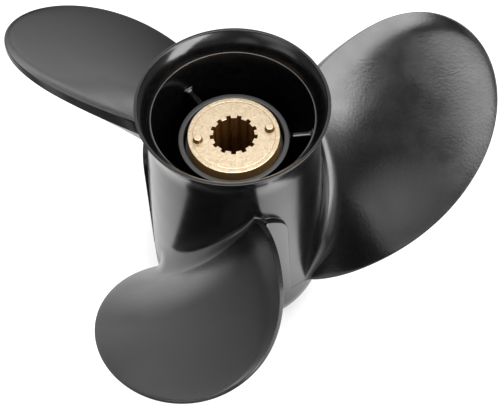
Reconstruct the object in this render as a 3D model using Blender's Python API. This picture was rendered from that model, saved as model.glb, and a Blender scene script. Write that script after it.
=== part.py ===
"""Three-blade, right-hand boat propeller with the exhaust led out through its hub.

The propeller stands on the front end of its hub, with the flared outlet up. The origin is on the
shaft axis in the plane of the hub's front end, and +Z runs aft along the shaft. It has three
pieces: one aluminium casting, a rubber bush and a splined brass sleeve.
"""

import math

import bmesh
import bpy
import numpy as np
from mathutils import Matrix

MM = 0.001

# Driving dimensions of the blades
BLADES = 3
TIP_RADIUS = 145.0 * MM
PITCH = 372.0 * MM
WIDEST_RADIUS = 80.0 * MM
WIDEST_CHORD = 121.4 * MM
CHORD_REACH_IN = 75.0 * MM
CHORD_POWER_IN = 2.0
CHORD_POWER_OUT = 2.36
SKEW_RADIUS = 60.0 * MM
SKEW_ANGLE = math.radians(5.3)
SKEW_PER_METRE = math.radians(176.0)
RAKE_RADIUS = 100.0 * MM
RAKE_HEIGHT = 92.5 * MM
RAKE_SLOPE = 0.45
RAKE_CURVE = 1.5
EDGE_THICKNESS = 1.6 * MM
EDGE_ROUNDING = 0.4
TRAILING_EXTRA = 1.8 * MM
TRAILING_FADE = 4
ROOT_CROWN = 5.0 * MM
FACE_CROWN = 6.8 * MM
FACE_CROWN_END = 0.35
FACE_CROWN_TURN = 7
FACE_SAG = 2.0 * MM
CUP_DEPTH = 2.4 * MM
CUP_START = 0.88
CUP_BEND = 0.02
FACE_FILLET_AFT = 2.6 * MM
FACE_FILLET_FORWARD = 9.5 * MM
FACE_FILLET_POWER = 0.9
BACK_FILLET = 5.0 * MM
NOSE_FILLET = 2.5 * MM
NOSE_FILLET_SHARE = 0.25
END_FILLET_SHARE = 0.4
TIP_OPENING = 0.05 * MM

# Driving dimensions of the barrel, which is the hub's outer wall
HUB_LENGTH = 143.9 * MM
FRONT_RADIUS = 41.75 * MM
CROWN_RADIUS = 46.7 * MM
CROWN_CURVE = 0.231
NOSE_LENGTH = 16.0 * MM
LIP_RADIUS = 48.3 * MM
LIP_THICKNESS = 1.7 * MM
LIP_EDGE = 0.35 * MM
FLARE_START = 122.0 * MM
MOUTH_POWER = 1.8
BORE_EDGE_RADIUS = 41.1 * MM
BORE_EDGE_HEIGHT = 133.5 * MM
BORE_DRAFT = 0.013
LAND_RADIUS = 46.8 * MM
LAND_START = 27.0 * MM
LAND_DRAFT = 0.0068
LAND_EDGE_ANGLE = math.radians(63.4)
LAND_EDGE_HEIGHT = 90.0 * MM
LAND_EDGE_SLANT = math.radians(2.6) / (53.0 * MM)
LAND_CORNER_DROP = 16.0 * MM
LAND_STEP_DROP = 2.0 * MM
LAND_LEAST_LENGTH = 6.0 * MM
LAND_ROOT_LENGTH = 8.0 * MM
LAND_ROOT_RISE = 0.5 * MM

# Driving dimensions of the inner hub, its ribs, the bush and the sleeve
INNER_HUB_RADIUS = 28.2 * MM
INNER_HUB_BORE = 25.4 * MM
INNER_HUB_BOTTOM = 14.0 * MM
INNER_HUB_TOP = 115.5 * MM
SHOULDER_BORE = 21.0 * MM
SHOULDER_TOP = 24.0 * MM
RIB_ANGLE = math.radians(4.5)
RIB_THICKNESS = 3.6 * MM
RIB_TOP = 114.0 * MM
SLEEVE_FACE_HEIGHT = 118.4 * MM
SLEEVE_FACE_RADIUS = 23.5 * MM
SLEEVE_FLANGE_THICKNESS = 8.0 * MM
SLEEVE_TUBE_RADIUS = 17.0 * MM
SLEEVE_BOTTOM = 18.0 * MM
SLEEVE_CHAMFER = 0.5 * MM
SPLINE_TEETH = 13
SPLINE_MAJOR_RADIUS = 12.1 * MM
SPLINE_MINOR_RADIUS = 10.4 * MM
SPLINE_PHASE = math.radians(74.65)
SPLINE_SPACE_SHARE = 0.45
SPLINE_FLANK_SHARE = 0.06
PEGS = 2
PEG_RADIUS = 2.3 * MM
PEG_TOP_RADIUS = 2.1 * MM
PEG_HEIGHT = 2.6 * MM
PEG_CIRCLE_RADIUS = 18.3 * MM
PEG_ANGLE = math.radians(8.5)
PEG_SEGMENTS = 20

GAP = 0.3 * MM
SINK = 2.0 * MM
SHARP_ANGLE = math.radians(32.0)
MERGE_DISTANCE = 0.0001 * MM
RIGHT_ANGLE = 0.5 * math.pi
SETTLING_PASSES = 4
FIRST_FILLET_TURN = math.radians(20.0)
TURNED_SEGMENTS = 72
FLARE_POINTS = 5
NOSE_POINTS = 4
CROWN_POINTS = 5
CHORD_POINTS = 13
SPAN_ROWS = 13
FILLET_ROWS = 4
LAND_COLUMNS = 16
LAND_ROWS = 4

HELIX_RISE = PITCH / (2.0 * math.pi)
BLADE_PITCH_ANGLE = 2.0 * math.pi / BLADES


def material(name, colour, roughness, metallic):
    """A plain Principled finish."""
    made = bpy.data.materials.new(name)
    made.use_nodes = True
    shader = made.node_tree.nodes["Principled BSDF"]
    shader.inputs["Base Color"].default_value = (*colour, 1.0)
    shader.inputs["Roughness"].default_value = roughness
    shader.inputs["Metallic"].default_value = metallic
    return made


def placed(name, bm, finish=None):
    """Turn a bmesh into an object in the scene, with its faces pointing out."""
    bmesh.ops.remove_doubles(bm, verts=bm.verts, dist=MERGE_DISTANCE)
    bmesh.ops.recalc_face_normals(bm, faces=bm.faces)
    mesh = bpy.data.meshes.new(name)
    bm.to_mesh(mesh)
    bm.free()
    mesh.shade_smooth()
    mesh.set_sharp_from_angle(angle=SHARP_ANGLE)
    piece = bpy.data.objects.new(name, mesh)
    bpy.context.scene.collection.objects.link(piece)
    if finish is not None:
        mesh.materials.append(finish)
    return piece


def guide(piece):
    """Mark an object as a form that is joined to, or cut from, another one."""
    piece.hide_render = True
    piece.display_type = "WIRE"
    return piece


def combine(target, tool, operation):
    """Join a form to the target, or cut it away."""
    step = target.modifiers.new(f"{operation.lower()}_{tool.name}", "BOOLEAN")
    step.operation = operation
    step.solver = "EXACT"
    step.object = tool


def turned(name, profile, finish=None):
    """Spin a closed outline of (radius, height) points once round the shaft axis."""
    bm = bmesh.new()
    verts = [bm.verts.new((radius, 0.0, height)) for radius, height in profile]
    edges = [bm.edges.new((verts[i], verts[(i + 1) % len(verts)])) for i in range(len(verts))]
    bmesh.ops.spin(
        bm,
        geom=verts + edges,
        cent=(0.0, 0.0, 0.0),
        axis=(0.0, 0.0, 1.0),
        angle=2.0 * math.pi,
        steps=TURNED_SEGMENTS,
        use_merge=True,
    )
    return placed(name, bm, finish)


def zip_shut(bm, loop):
    """Close a loop across itself with a strip, whose faces stay short where the loop bends round."""
    count = len(loop)
    for i in range((count - 1) // 2):
        corners = [loop[i], loop[i + 1], loop[count - 2 - i], loop[count - 1 - i]]
        bm.faces.new(list(dict.fromkeys(corners)))


def lofted(name, loops):
    """Skin a row of closed loops of equal length, and close both ends."""
    bm = bmesh.new()
    rows = [[bm.verts.new(point) for point in loop] for loop in loops]
    count = len(rows[0])
    for lower, upper in zip(rows[:-1], rows[1:]):
        for i in range(count):
            j = (i + 1) % count
            bm.faces.new((lower[i], lower[j], upper[j], upper[i]))
    zip_shut(bm, rows[0])
    zip_shut(bm, rows[-1])
    return placed(name, bm)


def prism(name, outline, bottom, top):
    """Extrude a flat outline of (x, y) points from one height to another."""
    bm = bmesh.new()
    face = bm.faces.new([bm.verts.new((x, y, bottom)) for x, y in outline])
    raised = bmesh.ops.extrude_face_region(bm, geom=[face])["geom"]
    verts = [item for item in raised if isinstance(item, bmesh.types.BMVert)]
    bmesh.ops.translate(bm, verts=verts, vec=(0.0, 0.0, top - bottom))
    return placed(name, bm)


# The barrel


def barrel_radius(height):
    """Outer radius: a gentle parabolic crown that draws in to the front end over the nose."""
    nose = np.maximum(0.0, 1.0 - np.asarray(height) / NOSE_LENGTH)
    crown = CROWN_RADIUS - CROWN_CURVE * np.asarray(height) ** 2
    return crown - (CROWN_RADIUS - FRONT_RADIUS) * nose**2


def flare_radius(height):
    """Outer radius of the flare: the barrel's radius plus a parabola that reaches the lip."""
    share = (height - FLARE_START) / (HUB_LENGTH - FLARE_START)
    return barrel_radius(height) + (LIP_RADIUS - barrel_radius(HUB_LENGTH)) * share**2


def bore_radius(height):
    """The exhaust bore widens aft by its casting draft."""
    return BORE_EDGE_RADIUS - BORE_DRAFT * (BORE_EDGE_HEIGHT - height)


def barrel_profile():
    """Up the outside from the front end, over the lip, and down the bore."""
    nose = [(barrel_radius(h), h) for h in np.linspace(0.0, NOSE_LENGTH, NOSE_POINTS)]
    crown = [(barrel_radius(h), h) for h in np.linspace(NOSE_LENGTH, FLARE_START, CROWN_POINTS)]
    lip_base = HUB_LENGTH - LIP_EDGE
    lip_inside = LIP_RADIUS - LIP_THICKNESS
    flare = [(flare_radius(h), h) for h in np.linspace(FLARE_START, lip_base, FLARE_POINTS)]
    lip = [(LIP_RADIUS - LIP_EDGE, HUB_LENGTH), (lip_inside + LIP_EDGE, HUB_LENGTH)]
    mouth = []
    for share in np.linspace(1.0, 0.0, FLARE_POINTS):
        height = BORE_EDGE_HEIGHT + (lip_base - BORE_EDGE_HEIGHT) * share
        width = (lip_inside - BORE_EDGE_RADIUS) * share**MOUTH_POWER
        mouth.append((BORE_EDGE_RADIUS + width, height))
    bore = [(bore_radius(0.0), 0.0)]
    return nose + crown[1:] + flare[1:] + lip + mouth + bore


# The blades


def chord(radius):
    """Chord length: an ellipse inside the widest radius, and a fuller oval outside it."""
    outside = radius > WIDEST_RADIUS
    reach = np.where(outside, TIP_RADIUS - WIDEST_RADIUS, CHORD_REACH_IN)
    power = np.where(outside, CHORD_POWER_OUT, CHORD_POWER_IN)
    share = np.abs(radius - WIDEST_RADIUS) / reach
    return WIDEST_CHORD * np.sqrt(np.maximum(0.0, 1.0 - share**power))


def middle_angle(radius):
    """Skew of the middle of the chord, ahead of the blade's own axis."""
    return SKEW_ANGLE + SKEW_PER_METRE * (radius - SKEW_RADIUS)


def middle_height(radius):
    """Rake: how far aft the middle of the chord lies."""
    out = radius - RAKE_RADIUS
    return RAKE_HEIGHT + RAKE_SLOPE * out - RAKE_CURVE * out**2


def bow(share):
    """A parabola across the chord, 0 at both edges and 1 in the middle."""
    return 4.0 * share * (1.0 - share)


def ease(share):
    """Smooth step from 0 to 1 with level ends."""
    share = np.clip(share, 0.0, 1.0)
    return share * share * (3.0 - 2.0 * share)


def face_crown(share, radius):
    """How far the driving face bulges aft near the root: most past the middle, and less at the edges."""
    rest = np.clip((TIP_RADIUS - radius) / (TIP_RADIUS - CROWN_RADIUS), 0.0, 1.0)
    return FACE_CROWN * rest**2 * np.sqrt(share) * (1.0 - (1.0 - FACE_CROWN_END) * share**FACE_CROWN_TURN)


def face_height(share, radius):
    """How far the driving face lies aft of its chord: a shallow hollow with a cupped trailing edge.

    The cup is a hook that starts with a soft bend and runs straight to the trailing edge.
    """
    slack = np.clip(chord(radius) / WIDEST_CHORD, 0.0, 1.0)
    hook = np.logaddexp(0.0, (share - CUP_START) / CUP_BEND) / np.logaddexp(0.0, (1.0 - CUP_START) / CUP_BEND)
    hollow = FACE_SAG * bow(share) + CUP_DEPTH * (share - hook)
    return face_crown(share, radius) - slack * hollow


def thickness(share, radius):
    """Thin at the leading edge, blunt at the trailing edge, fullest in the middle of the root."""
    span = np.clip((radius - CROWN_RADIUS) / (TIP_RADIUS - CROWN_RADIUS), 0.0, 1.0)
    edge = EDGE_THICKNESS + TRAILING_EXTRA * (1.0 - span**TRAILING_FADE) * share
    return edge + ROOT_CROWN * (1.0 - span) * bow(share) + face_crown(share, radius)


def on_blade(radius, along, aft):
    """Wrap a section point onto its cylinder: along the helix, and aft across it."""
    slant = np.hypot(radius, HELIX_RISE)
    angle = middle_angle(radius) + (along - aft * HELIX_RISE / radius) / slant
    height = middle_height(radius) + (along * HELIX_RISE + aft * radius) / slant
    return angle, height


def section_shares():
    """Places along the chord, closer together near both edges."""
    return 0.5 - 0.5 * np.cos(np.linspace(0.0, math.pi, CHORD_POINTS))


def root_fillet(share, is_face):
    """Radius of the root fillet. It shrinks aft on the face, and eases to a small one round the nose."""
    forward = np.abs(np.cos(RIGHT_ANGLE * share)) ** FACE_FILLET_POWER
    fillet = np.where(is_face, FACE_FILLET_AFT + FACE_FILLET_FORWARD * forward, BACK_FILLET)
    return NOSE_FILLET + (fillet - NOSE_FILLET) * ease(share / NOSE_FILLET_SHARE)


def blade_loop(reach_out, fillet_turn):
    """One closed loop round the blade: out along its face, back along its back, and its nose.

    reach_out runs from 0 at the top of the fillet to 1 at the tip. fillet_turn is the angle
    round the root fillet, from 0 where it would lie on the barrel to a right angle on the blade.
    The nose point lies on the outline, and the leading edge is drawn in behind it.
    """
    shares = section_shares()
    share = np.concatenate([shares, shares[::-1], [0.0]])
    count = len(shares)
    order = np.arange(len(share))
    is_face = order < count
    is_nose = order == 2 * count
    level = np.where(is_face, 0.0, np.where(is_nose, 0.5, 1.0))
    fillet = root_fillet(share, is_face)
    spread = fillet * (1.0 - math.sin(fillet_turn))
    lift = fillet * (1.0 - math.cos(fillet_turn))
    outward = np.where(share >= 1.0, END_FILLET_SHARE, 0.0) - np.where(is_nose, 1.0, 0.0)
    radius = np.full(len(share), CROWN_RADIUS)
    for _ in range(SETTLING_PASSES):
        body = thickness(share, radius)
        drawn_in = np.where(is_nose, 0.0, EDGE_ROUNDING * body * (1.0 - share))
        along = (share - 0.5) * chord(radius) + drawn_in + outward * spread
        aft = face_height(share, radius) - level * body + (1.0 - 2.0 * level) * spread
        angle, height = on_blade(radius, along, aft)
        root = barrel_radius(height) + lift
        radius = root + (TIP_RADIUS - TIP_OPENING - root) * reach_out
    return radius, angle, height


def blade_form(number):
    """A blade lofted from inside the barrel's wall, up its root fillet and out to the tip."""
    turns = np.linspace(FIRST_FILLET_TURN, RIGHT_ANGLE, FILLET_ROWS)
    rows = [blade_loop(0.0, turn) for turn in turns]
    spans = np.sin(RIGHT_ANGLE * np.linspace(0.0, 1.0, SPAN_ROWS)[1:])
    rows += [blade_loop(span, RIGHT_ANGLE) for span in spans]
    sunk = (rows[0][0] - SINK, rows[0][1], rows[0][2])
    loops = []
    for radius, angle, height in [sunk] + rows:
        loops.append(np.stack([radius * np.cos(angle), radius * np.sin(angle), height], axis=-1))
    form = guide(lofted(f"blade_form_{number}", loops))
    form.data.transform(Matrix.Rotation(number * BLADE_PITCH_ANGLE, 4, "Z"))
    return form


def land_form(number):
    """The raised land in front of a blade, which lets the front half of the mould draw off.

    It widens aft by its draft, ends in a step level with the blade's back, and turns down a
    quarter-round corner to its straight edge past the trailing edge. That edge slants a little.
    """
    lead_angle, _ = on_blade(CROWN_RADIUS, -0.5 * chord(CROWN_RADIUS), 0.0)
    tail_angle, tail_height = on_blade(CROWN_RADIUS, 0.5 * chord(CROWN_RADIUS), 0.0)
    angles = np.linspace(lead_angle, LAND_EDGE_ANGLE, LAND_COLUMNS)
    helix = tail_height + HELIX_RISE * (np.minimum(angles, tail_angle) - tail_angle)
    beyond = np.clip((angles - tail_angle) / (LAND_EDGE_ANGLE - tail_angle), 0.0, 1.0)
    corner = 1.0 - np.sqrt(1.0 - beyond**2)
    top = helix - LAND_STEP_DROP - LAND_CORNER_DROP * corner
    loops = []
    for angle, ceiling in zip(angles, top):
        floor = min(LAND_START, ceiling - LAND_LEAST_LENGTH)
        heights = np.append(floor - LAND_ROOT_LENGTH, np.linspace(floor, ceiling, LAND_ROWS))
        outer = LAND_RADIUS + LAND_DRAFT * (heights - LAND_START)
        inner = barrel_radius(heights) - SINK
        outer[0] = inner[0] + LAND_ROOT_RISE
        radius = np.concatenate([outer, inner[::-1]])
        height = np.concatenate([heights, heights[::-1]])
        slant = LAND_EDGE_SLANT * np.clip(LAND_EDGE_HEIGHT - height, 0.0, None)
        turn = angle + slant * ease((angle - tail_angle) / (LAND_EDGE_ANGLE - tail_angle))
        loops.append(np.stack([radius * np.cos(turn), radius * np.sin(turn), height], axis=-1))
    form = guide(lofted(f"land_form_{number}", loops))
    form.data.transform(Matrix.Rotation(number * BLADE_PITCH_ANGLE, 4, "Z"))
    return form


# The inner hub, ribs, bush and sleeve


def inner_hub_form():
    """A tube with a shoulder at its front end that stops the bush."""
    profile = [
        (SHOULDER_BORE, INNER_HUB_BOTTOM),
        (INNER_HUB_RADIUS, INNER_HUB_BOTTOM),
        (INNER_HUB_RADIUS, INNER_HUB_TOP),
        (INNER_HUB_BORE, INNER_HUB_TOP),
        (INNER_HUB_BORE, SHOULDER_TOP),
        (SHOULDER_BORE, SHOULDER_TOP),
    ]
    return guide(turned("inner_hub_form", profile))


def rib_form(number):
    """A flat rib from the inner hub to the barrel, sunk a little into both."""
    near = INNER_HUB_RADIUS - 0.5 * (INNER_HUB_RADIUS - INNER_HUB_BORE)
    far = bore_radius(INNER_HUB_BOTTOM) + SINK
    half = 0.5 * RIB_THICKNESS
    outline = [(near, -half), (far, -half), (far, half), (near, half)]
    form = guide(prism(f"rib_form_{number}", outline, INNER_HUB_BOTTOM + MM, RIB_TOP))
    form.data.transform(Matrix.Rotation(RIB_ANGLE + number * BLADE_PITCH_ANGLE, 4, "Z"))
    return form


def casting():
    """Barrel, blades, lands, inner hub and ribs in one piece."""
    finish = material("gloss_black_paint", (0.012, 0.0123, 0.013), 0.25, 0.0)
    body = turned("propeller_casting", barrel_profile(), finish)
    combine(body, inner_hub_form(), "UNION")
    for number in range(BLADES):
        combine(body, rib_form(number), "UNION")
    for number in range(BLADES):
        combine(body, land_form(number), "UNION")
    for number in range(BLADES):
        combine(body, blade_form(number), "UNION")
    return body


def rubber_bush():
    """The bush fills the space between the sleeve's tube and the inner hub."""
    inner = SLEEVE_TUBE_RADIUS + GAP
    outer = INNER_HUB_BORE - GAP
    bottom = SHOULDER_TOP + GAP
    top = SLEEVE_FACE_HEIGHT - SLEEVE_FLANGE_THICKNESS - GAP
    finish = material("black_rubber", (0.012, 0.010, 0.009), 0.6, 0.0)
    profile = [(inner, bottom), (outer, bottom), (outer, top), (inner, top)]
    return turned("rubber_bush", profile, finish)


def spline_outline():
    """Teeth and spaces round the bore: two points on each space's floor, two on each tooth's tip."""
    step = 2.0 * math.pi / SPLINE_TEETH
    half_space = 0.5 * SPLINE_SPACE_SHARE * step
    floor_turn = half_space * (1.0 - SPLINE_FLANK_SHARE)
    tip_turn = half_space * (1.0 + SPLINE_FLANK_SHARE)
    outline = []
    for number in range(SPLINE_TEETH):
        centre = SPLINE_PHASE + number * step
        for radius, turn in (
            (SPLINE_MINOR_RADIUS, -tip_turn),
            (SPLINE_MAJOR_RADIUS, -floor_turn),
            (SPLINE_MAJOR_RADIUS, floor_turn),
            (SPLINE_MINOR_RADIUS, tip_turn),
        ):
            outline.append((radius * math.cos(centre + turn), radius * math.sin(centre + turn)))
    return outline


def brass_sleeve():
    """A flanged sleeve with a splined bore and two raised pegs on its aft face."""
    flange_bottom = SLEEVE_FACE_HEIGHT - SLEEVE_FLANGE_THICKNESS
    blank_bore = SPLINE_MINOR_RADIUS - MM
    profile = [
        (blank_bore, SLEEVE_BOTTOM),
        (SLEEVE_TUBE_RADIUS, SLEEVE_BOTTOM),
        (SLEEVE_TUBE_RADIUS, flange_bottom),
        (SLEEVE_FACE_RADIUS, flange_bottom),
        (SLEEVE_FACE_RADIUS, SLEEVE_FACE_HEIGHT - SLEEVE_CHAMFER),
        (SLEEVE_FACE_RADIUS - SLEEVE_CHAMFER, SLEEVE_FACE_HEIGHT),
        (blank_bore, SLEEVE_FACE_HEIGHT),
    ]
    finish = material("machined_brass", (0.80, 0.66, 0.44), 0.35, 1.0)
    sleeve = turned("brass_sleeve", profile, finish)
    outline = spline_outline()
    cutter = prism("spline_cutter", outline, SLEEVE_BOTTOM - SINK, SLEEVE_FACE_HEIGHT + SINK)
    combine(sleeve, guide(cutter), "DIFFERENCE")
    for number in range(PEGS):
        combine(sleeve, peg_form(PEG_ANGLE + number * 2.0 * math.pi / PEGS), "UNION")
    return sleeve


def peg_form(angle):
    """A slightly tapered peg that stands on the sleeve's aft face, sunk a little into it."""
    bm = bmesh.new()
    middle = SLEEVE_FACE_HEIGHT + 0.5 * (PEG_HEIGHT - SINK)
    place = (PEG_CIRCLE_RADIUS * math.cos(angle), PEG_CIRCLE_RADIUS * math.sin(angle), middle)
    bmesh.ops.create_cone(
        bm,
        cap_ends=True,
        segments=PEG_SEGMENTS,
        radius1=PEG_RADIUS,
        radius2=PEG_TOP_RADIUS,
        depth=PEG_HEIGHT + SINK,
        matrix=Matrix.Translation(place),
    )
    return guide(placed("peg_form", bm))


def main():
    for piece in list(bpy.data.objects):
        bpy.data.objects.remove(piece, do_unlink=True)
    casting()
    rubber_bush()
    brass_sleeve()


main()
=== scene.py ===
"""Looks of a three-blade boat propeller: painted casting, rubber bush, splined brass sleeve, and a studio.

Lengths are metres and angles radians. +Z runs aft along the shaft axis from the front end of the hub.
Every surface is a function of two parameters, worked out as whole arrays of points.
"""

import math

import bpy
import numpy as np
from mathutils import Matrix, Vector


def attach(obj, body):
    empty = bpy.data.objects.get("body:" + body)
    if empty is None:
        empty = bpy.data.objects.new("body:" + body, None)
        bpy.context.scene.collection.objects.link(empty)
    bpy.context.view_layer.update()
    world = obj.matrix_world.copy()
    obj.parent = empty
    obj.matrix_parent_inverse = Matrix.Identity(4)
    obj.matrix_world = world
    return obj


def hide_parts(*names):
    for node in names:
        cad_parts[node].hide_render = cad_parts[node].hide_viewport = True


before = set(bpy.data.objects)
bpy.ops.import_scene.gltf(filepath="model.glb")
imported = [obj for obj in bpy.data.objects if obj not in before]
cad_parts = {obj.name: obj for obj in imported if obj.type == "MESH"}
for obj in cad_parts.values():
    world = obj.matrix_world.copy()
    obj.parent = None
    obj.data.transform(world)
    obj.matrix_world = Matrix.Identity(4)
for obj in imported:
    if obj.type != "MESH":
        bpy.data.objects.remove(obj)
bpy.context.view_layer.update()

MM = 0.001
RIGHT_ANGLE = 0.5 * math.pi
FULL_TURN = 2.0 * math.pi

# Blades
BLADES = 3
TIP_RADIUS = 145.0 * MM
PITCH = 372.0 * MM
WIDEST_RADIUS = 80.0 * MM
WIDEST_CHORD = 121.4 * MM
CHORD_REACH_IN = 75.0 * MM
CHORD_POWER_IN = 2.0
CHORD_POWER_OUT = 2.36
SKEW_RADIUS = 60.0 * MM
SKEW_ANGLE = math.radians(5.3)
SKEW_PER_METRE = math.radians(176.0)
RAKE_RADIUS = 100.0 * MM
RAKE_HEIGHT = 92.5 * MM
RAKE_SLOPE = 0.45
RAKE_CURVE = 1.5
EDGE_THICKNESS = 1.6 * MM
TRAILING_EXTRA = 1.8 * MM
TRAILING_FADE = 4
ROOT_CROWN = 5.0 * MM
FACE_CROWN = 6.8 * MM
FACE_CROWN_END = 0.35
FACE_CROWN_TURN = 7
FACE_SAG = 2.0 * MM
CUP_DEPTH = 2.4 * MM
CUP_START = 0.915
CUP_BEND = 0.02
FACE_FILLET_AFT = 2.6 * MM
FACE_FILLET_FORWARD = 9.5 * MM
FACE_FILLET_POWER = 0.9
BACK_FILLET = 5.0 * MM
BACK_FILLET_AFT = 2.5 * MM
BACK_FILLET_POWER = 4
NOSE_FILLET = 2.5 * MM
NOSE_FILLET_SHARE = 0.25
BLUNT_DEPTH = 0.35 * MM
BLUNT_POWER = 1.0 / 3.0
BLUNT_END = 0.8
# Share of the way to the tip over which the outline's slope takes hold
OUTLINE_GRIP_END = 0.15
ROOT_SUNK = 1.5 * MM

# Barrel
HUB_LENGTH = 143.9 * MM
FRONT_RADIUS = 41.75 * MM
CROWN_RADIUS = 46.7 * MM
CROWN_CURVE = 0.231
NOSE_LENGTH = 16.0 * MM
NOSE_CROWDING = 1.3
LIP_RADIUS = 48.3 * MM
LIP_THICKNESS = 1.7 * MM
LIP_EDGE = 0.35 * MM
FLARE_START = 122.0 * MM
MOUTH_CONE_SHARE = 0.6
MOUTH_POWER = 3
BORE_EDGE_RADIUS = 41.1 * MM
BORE_EDGE_HEIGHT = 133.5 * MM
BORE_DRAFT = 0.013
BORE_STEP = 0.5 * MM
BORE_STEP_EDGE = 0.12 * MM
FRONT_EDGE = 0.5 * MM
FRONT_CORNER_INSET = 0.15 * MM
FRONT_CORNER_RISE = 0.075 * MM

# Lands in front of the blades
LAND_RADIUS = 46.8 * MM
LAND_START = 27.0 * MM
LAND_DRAFT = 0.0068
LAND_EDGE_ANGLE = math.radians(63.4)
LAND_EDGE_HEIGHT = 90.0 * MM
LAND_EDGE_SLANT = math.radians(2.6) / (53.0 * MM)
LAND_TUCK = math.radians(12.0)
LAND_CORNER_DROP = 16.0 * MM
LAND_STEP_DROP = 2.0 * MM
LAND_STEP_WIDTH = 1.0 * MM
# The edge's rounding and the foot's fillet, with the largest share of the land's rise that each may take
LAND_EDGE_ROUNDING = 0.35 * MM
LAND_EDGE_SHARE = 0.5
LAND_FOOT_FILLET = 0.5 * MM
LAND_FOOT_SHARE = 0.4
LAND_FOOT_OVERHANG = 0.3 * MM
LAND_FOOT_SUNK = 0.5 * MM
# The line inside the blade where the land's rulings end
LAND_SPINE_DROP = 1.0 * MM
LAND_SPINE_POWER = 1.5
LAND_HIDDEN_DEPTH = 1.2 * MM

# Mould seams
SEAM_WIDTH = 0.9 * MM
SEAM_HEIGHT = 0.14 * MM
SEAM_SUNK = 0.1 * MM
SEAM_NOSE_RISE = 1.5 * MM

# Inner hub, ribs and bush
INNER_HUB_RADIUS = 28.2 * MM
INNER_HUB_BORE = 25.4 * MM
INNER_HUB_BOTTOM = 14.0 * MM
INNER_HUB_TOP = 115.5 * MM
INNER_HUB_RIM = 0.5 * MM
SHOULDER_BORE = 21.0 * MM
SHOULDER_TOP = 24.0 * MM
RIB_ANGLE = math.radians(4.5)
RIB_THICKNESS = 3.6 * MM
RIB_BOTTOM = 15.0 * MM
RIB_TOP = 114.0 * MM
RIB_FILLET = 2.4 * MM
RIB_CLIMB_SHARE = 0.8
RIB_RIM_GAP = 0.6 * MM
RIB_SUNK = 1.0 * MM
RIB_CREST_POWER = 0.8
RIB_CREST_HEIGHT = 1.1 * MM
BUSH_EDGE = 0.8 * MM
FIT_GAP = 0.3 * MM

# Brass sleeve
SLEEVE_FACE_HEIGHT = 118.4 * MM
SLEEVE_FACE_RADIUS = 23.5 * MM
SLEEVE_FLANGE_THICKNESS = 8.0 * MM
SLEEVE_TUBE_RADIUS = 17.0 * MM
SLEEVE_BOTTOM = 18.0 * MM
SLEEVE_CHAMFER = 0.5 * MM
FACE_START_RADIUS = 13.0 * MM
FACE_GROOVE_RADIUS = 20.9 * MM
FACE_GROOVE_HALF_WIDTH = 0.35 * MM
FACE_GROOVE_DEPTH = 0.05 * MM
SPLINE_TEETH = 13
SPLINE_MAJOR_RADIUS = 12.1 * MM
SPLINE_MINOR_RADIUS = 10.4 * MM
SPLINE_PHASE = math.radians(74.65)
SPLINE_SPACE_SHARE = 0.45
# Share of half a space that a flank takes, and how far its crowded points reach from its middle
SPLINE_FLANK_SHARE = 0.24
SPLINE_FLANK_REACH = 0.55
SPLINE_CHAMFER = 0.08 * MM
PEGS = 2
PEG_RADIUS = 2.3 * MM
PEG_TOP_RADIUS = 2.1 * MM
PEG_HEIGHT = 2.6 * MM
PEG_CIRCLE_RADIUS = 18.3 * MM
PEG_ANGLE = math.radians(8.5)
PEG_FILLET = 0.3 * MM
PEG_EDGE = 0.35 * MM
PEG_SUNK = 1.0 * MM

# Fineness of the surfaces: numbers of points, or of steps round the axis
ACROSS_STEPS = 120
RIM_STEPS = 20
FILLET_STEPS = 16
REACH_STEPS = 110
SETTLING_PASSES = 6
AROUND_STEPS = 480
HUB_AROUND_STEPS = 240
PEG_AROUND_STEPS = 48
CORNER_STEPS = 7
SMALL_CORNER_STEPS = 6
NOSE_STEPS = 24
CROWN_STEPS = 60
FLARE_STEPS = 32
MOUTH_STEPS = 40
BORE_STEPS = 60
BORDER_STEPS = 60
TUCK_STEPS = 14
RULING_STEPS = 30
SEAM_STEPS = 60
SEAM_TURN_STEPS = 9
RIB_REACH_STEPS = 40
RIB_TURN_STEPS = 25
WALL_STEPS = 20
BUSH_WALL_STEPS = 12
SPLINE_LEVEL_STEPS = 7
SPLINE_FLANK_STEPS = 15
FRONT_CONE_STEPS = 5
SPLINE_BORE_STEPS = 40
AFT_CONE_STEPS = 9
FACE_STEPS = 16
GROOVE_STEPS = 9
FLANGE_STEPS = 8
FLANGE_FRONT_STEPS = 5
SLEEVE_EDGE_STEPS = 8
WELD = 1e-7
SHARP_ANGLE = math.radians(50.0)
SLEEVE_SHARP_ANGLE = math.radians(25.0)

HELIX_RISE = PITCH / FULL_TURN
BLADE_PITCH_ANGLE = FULL_TURN / BLADES


# Helpers for surfaces


def ease(share):
    """Smooth step from 0 to 1 with level ends: three squares less two cubes of the share."""
    share = np.clip(share, 0.0, 1.0)
    return share * share * (3.0 - 2.0 * share)


def bow(share):
    """A parabola, 0 at both ends and 1 in the middle."""
    return 4.0 * share * (1.0 - share)


def even(start, stop, count):
    """Evenly spaced values, both ends included."""
    return np.linspace(start, stop, count)


def dense_ends(count):
    """Shares from 0 to 1 that crowd at both ends: half of one less the cosine of an even half turn."""
    return 0.5 - 0.5 * np.cos(even(0.0, math.pi, count))


def powered(value, power):
    """A power of a value's size, with the value's own sign."""
    return np.sign(value) * np.abs(value) ** power


def wrapped(radius, angle, height):
    """Points from their radius, angle round the shaft axis and height."""
    radius, angle, height = np.broadcast_arrays(radius, angle, height)
    return np.stack([radius * np.cos(angle), radius * np.sin(angle), height], axis=-1)


def arc(centre, radius, start, stop, count):
    """Points (radius, height) on part of a circle round a centre, angles counted from straight out."""
    turn = even(start, stop, count)
    return np.stack([centre[0] + radius * np.cos(turn), centre[1] + radius * np.sin(turn)], axis=-1)


def run(radii, heights):
    """A stretch of profile as (radius, height) points."""
    radii, heights = np.broadcast_arrays(radii, heights)
    return np.stack([radii, heights], axis=-1)


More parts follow.
